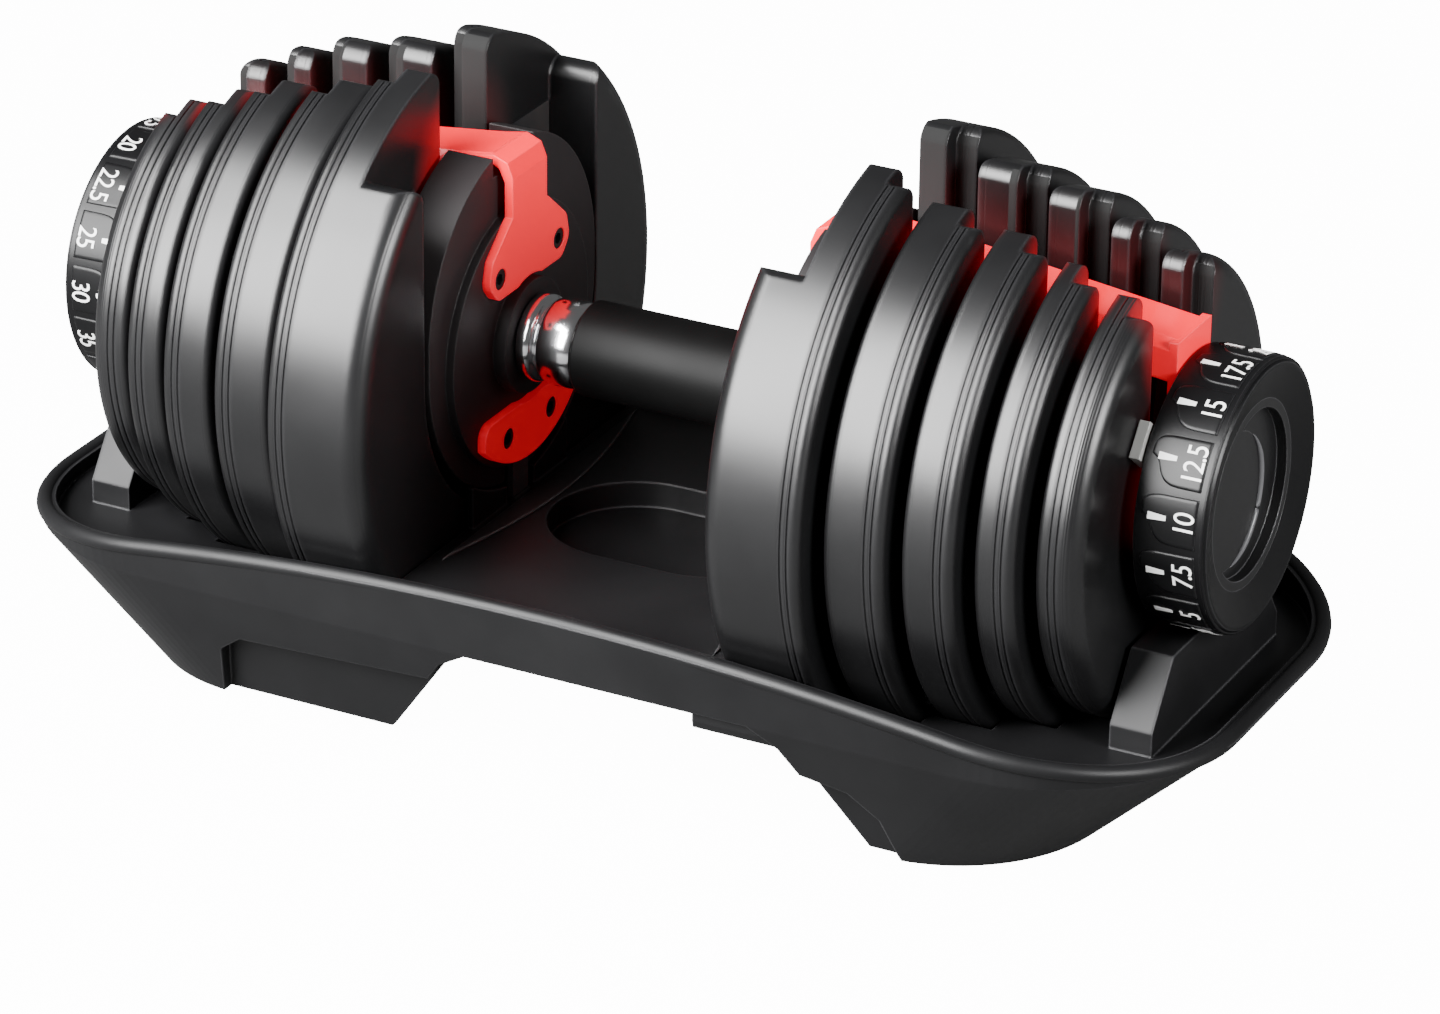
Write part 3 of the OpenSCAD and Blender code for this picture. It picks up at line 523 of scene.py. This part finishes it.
for side in SIDES:
    verts, faces = [], []
    for k, words in enumerate(NUMBERS):
        flat, cells = lettering(words)
        base = len(verts)
        for p in flat:
            verts.append(at_dial(side, WORDS_AT - p.y, INK_R,
                                 FIRST + k * PITCH + degrees_round(p.x)))
        faces += [[base + i for i in cell] for cell in cells]
        base = len(verts)
        for i in range(7):
            half = 1.15 - i * 0.07
            for edge in (-half, half):
                verts.append(at_dial(side, WEDGE_AT + i * WEDGE_STEP, INK_R + 0.02,
                                     FIRST + k * PITCH + degrees_round(edge)))
        faces += [(base + i, base + i + 2, base + i + 3, base + i + 1) for i in range(0, 12, 2)]
    ob = piece(f"dial_numbers_{side}", verts, faces, print_white,
               f"dial_{side}", smooth=False, closed=False)
    film = ob.modifiers.new("film", "SOLIDIFY")
    film.thickness, film.offset = INK_MM * MM, 0
print(len(NUMBERS), "numbers,", GLYPH_MM, "mm tall")

# %% [markdown]
# Anything turned, such as the bead on the front of a dial, is a short
# outline carried round the axis.

# %% Turned beads
def lathe(name, side, outline, mat, body, steps=144):
    verts, faces = [], []
    n = len(outline)
    for i in range(steps):
        for x, r in outline:
            verts.append(at_dial(side, x, r, i * 360 / steps))
    for i in range(steps):
        for j in range(n):
            a, b = i * n + j, i * n + (j + 1) % n
            c, d = ((i + 1) % steps) * n + (j + 1) % n, ((i + 1) % steps) * n + j
            faces.append((a, b, c, d))
    return piece(name, verts, faces, mat, body)

BEAD_R = 0.6
round_edge = [(DIAL_OUT - 1.3 + BEAD_R * cos(t * pi / 6), DIAL_R - 0.5 + BEAD_R * sin(t * pi / 6))
              for t in range(12)]
for side in SIDES:
    lathe(f"dial_bead_{side}", side, round_edge, dial_abs, f"dial_{side}")
print("beads", round(2 * BEAD_R, 1), "mm thick")

# %% [markdown]
# The chrome collars are turned with a barrel next to the grip, a groove and
# a wider bead against the guard.  The profile stands in for the plain tube
# of the frame and keeps its bore and both of its ends.

# %% Chrome collars
collar_low, collar_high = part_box("ferrule_right")
X0, X1 = collar_low.x / MM, collar_high.x / MM
WALL_R, BORE_R = (collar_high.z - collar_low.z) / 2 / MM, 12.0

def swell(middle, half, low, rise, steps):
    """A bead from one side of its middle to the other, as shares of the collar's length."""
    return [(X0 + (X1 - X0) * (middle - half * cos(t * pi / steps)),
             WALL_R - low + rise * sin(t * pi / steps) ** 0.7) for t in range(1, steps)]

barrel, bead = swell(0.34, 0.33, 2.2, 2.0, 10), swell(0.855, 0.14, 1.9, 1.9, 8)
groove = [(X0 + (X1 - X0) * share, WALL_R - 2.4) for share in (0.68, 0.71)]
bore = [(X1, BORE_R), (X0, BORE_R), (X0, WALL_R - 2.5)]
ring = [(X0 + 0.3, WALL_R - 2.2)] + barrel + groove + bead + [(X1, WALL_R - 1.9)] + bore
for side in SIDES:
    collar = lathe(f"collar_{side}", side, ring, chrome, "handle")
    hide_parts(f"ferrule_{side}")
print("collars", round(X1 - X0, 1), "mm long and", round(2 * WALL_R, 1), "mm across")

# %% [markdown]
# The cap has a crescent scoop for the fingers with a lip along it.  The lip
# is a rod bent to the edge of the scoop and drawn out thin at both ends.  It
# is painted pale grey, a painted highlight along the scoop's edge.

# %% A rod along a path
def rod(name, path, radius, mat, body, closed=False, sides=12, taper=0.0):
    verts, faces = [], []
    n = len(path)
    for i, p in enumerate(path):
        after = path[(i + 1) % n] if closed or i < n - 1 else p
        before = path[i - 1] if closed or i > 0 else p
        run = (after - before).normalized()
        up = Vector((0, 0, 1)) if abs(run.z) < 0.9 else Vector((0, 1, 0))
        across = run.cross(up).normalized()
        top = across.cross(run)
        share = min(i, n - 1 - i) / max(1, (n - 1) * taper) if taper else 1
        r = radius * MM * (min(1, share) ** 0.6 * 0.95 + 0.05)
        for j in range(sides):
            a = 2 * pi * j / sides
            verts.append(p + across * r * cos(a) + top * r * sin(a))
    for i in range(n if closed else n - 1):
        for j in range(sides):
            a, b = i * sides + j, i * sides + (j + 1) % sides
            c, d = ((i + 1) % n) * sides + (j + 1) % sides, ((i + 1) % n) * sides + j
            faces.append((a, b, c, d))
    if not closed:
        faces += [list(range(sides)), list(range((n - 1) * sides, n * sides))]
    return piece(name, verts, faces, mat, body)

# the scoop's edge is an arc round this point of the cap, from one angle over a sweep
cap_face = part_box("dial_cap_right")[1].x / MM
LIP_Y, LIP_Z, LIP_R, LIP_FROM, LIP_SWEEP = -16, 4, 22, -88, 138
for side in SIDES:
    arc = []
    for i in range(49):
        a = radians(LIP_FROM + i * LIP_SWEEP / 48)
        y, z = LIP_Y + LIP_R * cos(a), LIP_Z + LIP_R * sin(a)
        arc.append(at_dial(side, cap_face + 0.1, sqrt(y * y + z * z), atan2(z, -y) * 180 / pi))
    rod(f"cap_lip_{side}", arc, 1.0, lip_painted_highlight, f"dial_{side}", taper=0.22)
print("a lip", LIP_SWEEP, "degrees long on each cap")

# %% [markdown]
# The tray's edge is rolled over, and in soft light that roll is the
# brightest line on it.  It follows the tray's outline from above and the
# long shallow arc of the edge from the side.

# %% Rolled edge of the tray
tray_low, tray_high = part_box("tray")
HALF_X, HALF_Y = (tray_high.x - tray_low.x) / 2 / MM, (tray_high.y - tray_low.y) / 2 / MM
CORNER, ARC, RIM_TOP = 66.0, 1150.0, 61.0

def rim_point(x, y):
    return Vector((x * MM, y * MM, (RIM_TOP - ARC + sqrt(ARC ** 2 - x * x)) * MM))

def tray_outline(inset, steps=24):
    a, b, r = HALF_X - inset, HALF_Y - inset, CORNER - inset
    out = []
    corners = ((a - r, b - r, 0), (r - a, b - r, 90), (r - a, r - b, 180), (a - r, r - b, 270))
    for cx, cy, start in corners:
        for i in range(steps + 1):
            t = radians(start + 90 * i / steps)
            out.append((cx + r * cos(t), cy + r * sin(t)))
    return out

ROLL_INSET, ROLL_DOWN, ROLL_R = 2.9, Vector((0, 0, 1.0 * MM)), 2.7
outline = tray_outline(ROLL_INSET)
path = []
for i, (x, y) in enumerate(outline):
    nx, ny = outline[(i + 1) % len(outline)]
    # the straight runs are cut up so that they can follow the arc
    parts = 24 if abs(nx - x) + abs(ny - y) > 20 else 1
    path += [rim_point(x + (nx - x) * k / parts, y + (ny - y) * k / parts) - ROLL_DOWN
             for k in range(parts)]
rod("tray_rolled_edge", path, ROLL_R, polypropylene, "tray",
    closed=True, sides=16)
print("rolled edge round", round(2 * HALF_X), "by", round(2 * HALF_Y), "mm")

# %% [markdown]
# Beside each guard the tray's floor has a thin raised pad, straight along
# the well and bowed towards the hand.  It keeps the guards from rocking.

# %% Floor pads
PAD_Z, PAD_HIGH = 51.4, 0.9
PAD_X, PAD_BOW, PAD_FROM, PAD_LONG, STEPS = -53, 9.5, -56, 131, 32
# the pad's pale grey edges are a painted highlight
pad_plastic = finish("moulded polypropylene, painted edge highlight", "#161617", "#1c1c1d", 0.42, 0.04, 0.9, 0.03,
                     edge="#8e8e90", edge_mm=0.8, IOR=1.49)
for side, turned in (("left", 1), ("right", -1)):
    bow = [(PAD_X + PAD_BOW * sin(pi * i / STEPS), PAD_FROM + PAD_LONG * i / STEPS)
           for i in range(STEPS + 1)]
    n = len(bow)
    verts = [Vector((x * turned * MM, y * turned * MM, z * MM))
             for z in (PAD_Z - 0.4, PAD_Z + PAD_HIGH) for x, y in bow]
    faces = [list(range(n)), list(range(n, 2 * n))]
    faces += [(i, (i + 1) % n, n + (i + 1) % n, n + i) for i in range(n)]
    pad = piece(f"tray_pad_{side}", verts, faces, pad_plastic, "tray", smooth=False)
    edge = pad.modifiers.new("round", "BEVEL")
    edge.width, edge.segments = 0.5 * MM, 3

# %% [markdown]
# The floor is a white paper sweep.  It is lit from below like a light table,
# so it reads as plain white, and that glow is kept off the object so that
# black parts stay black.

# %% Floor
floor_mesh = bpy.data.meshes.new("floor")
floor_mesh.from_pydata([(-6, -6, 0), (6, -6, 0), (6, 6, 0), (-6, 6, 0)], [], [(0, 1, 2, 3)])
floor = bpy.data.objects.new("floor", floor_mesh)
bpy.context.scene.collection.objects.link(floor)
paper = finish("white paper sweep", "#5c5c5c", "#626262", 0.9, 0.02, 2.0, 0.01, IOR=1.3)
floor_mesh.materials.append(paper)
seen = add(paper.node_tree, "ShaderNodeLightPath").outputs["Is Camera Ray"]
FLOOR_GLOW = 14.0
glow = add(paper.node_tree, "ShaderNodeMath", {0: seen, 1: FLOOR_GLOW},
           operation="MULTIPLY").outputs[0]
sweep = paper.node_tree.nodes["Principled BSDF"]
sweep.inputs["Emission Color"].default_value = linear("#ffffff")
paper.node_tree.links.new(glow, sweep.inputs["Emission Strength"])
floor.location.z = -0.5 * MM

# %% [markdown]
# Black satin shows what it reflects and little else, so the light is placed
# by its reflection.  A tall panel stands to the left where the rounds of the
# plates mirror it to the camera: it is the broad grey band down both heads.
# A brighter strip over it gives the band its clear upper edge.  A weak light
# from the right opens up the red brackets and the faces of the guards.

# %% Light
world = bpy.data.worlds.new("studio")
bpy.context.scene.world = world
world.use_nodes = True
back = world.node_tree.nodes["Background"]
back.inputs["Color"].default_value = linear("#ffffff")
back.inputs["Strength"].default_value = 0.12

def softbox(name, where, look, width, height, watts):
    lamp = bpy.data.lights.new(name, "AREA")
    lamp.shape, lamp.size, lamp.size_y, lamp.energy = "RECTANGLE", width, height, watts
    ob = bpy.data.objects.new(name, lamp)
    bpy.context.scene.collection.objects.link(ob)
    ob.location = where
    ob.rotation_euler = (Vector(look) - Vector(where)).to_track_quat("-Z", "Y").to_euler()
    print(name, "of", watts, "W")

MIDDLE = Vector((0, 0, 0.1))

def mirrored(rise, far):
    """Where the rounds of the plates show a light best, at this rise above the floor."""
    along, across = -0.411, 0.911
    way = Vector((along, -across * cos(radians(rise)), across * sin(radians(rise))))
    return way * far + MIDDLE

softbox("panel", mirrored(31, 1.3), MIDDLE, 0.9, 0.85, 92)
softbox("strip", mirrored(60, 1.3), MIDDLE, 0.9, 0.22, 26)
softbox("side", (1.5, -0.35, 0.75), MIDDLE, 0.6, 0.6, 44)

# %% [markdown]
# A long lens from about two metres keeps the tray's far end nearly as large
# as the near one, as a catalogue view does.

# %% Camera
turn, tilt, roll = radians(27.1), radians(24.9), radians(0.715)
target, distance = Vector((0.01632, 0.0, 0.07874)), 2.04365
right = Vector((cos(turn), sin(turn), 0))
up = Vector((-sin(turn) * sin(tilt), cos(turn) * sin(tilt), cos(tilt)))
away = right.cross(up)
r2, u2 = cos(roll) * right + sin(roll) * up, -sin(roll) * right + cos(roll) * up
lens = bpy.data.cameras.new("camera")
lens.lens, lens.sensor_width, lens.shift_y = 161.94, 36.0, -0.0319
lens.clip_end = 50
camera = bpy.data.objects.new("camera", lens)
bpy.context.scene.collection.objects.link(camera)
spin = Matrix((r2, u2, away)).transposed().to_4x4()
camera.matrix_world = Matrix.Translation(target + away * distance) @ spin
bpy.context.scene.camera = camera
print("camera at", [round(v, 3) for v in camera.location])
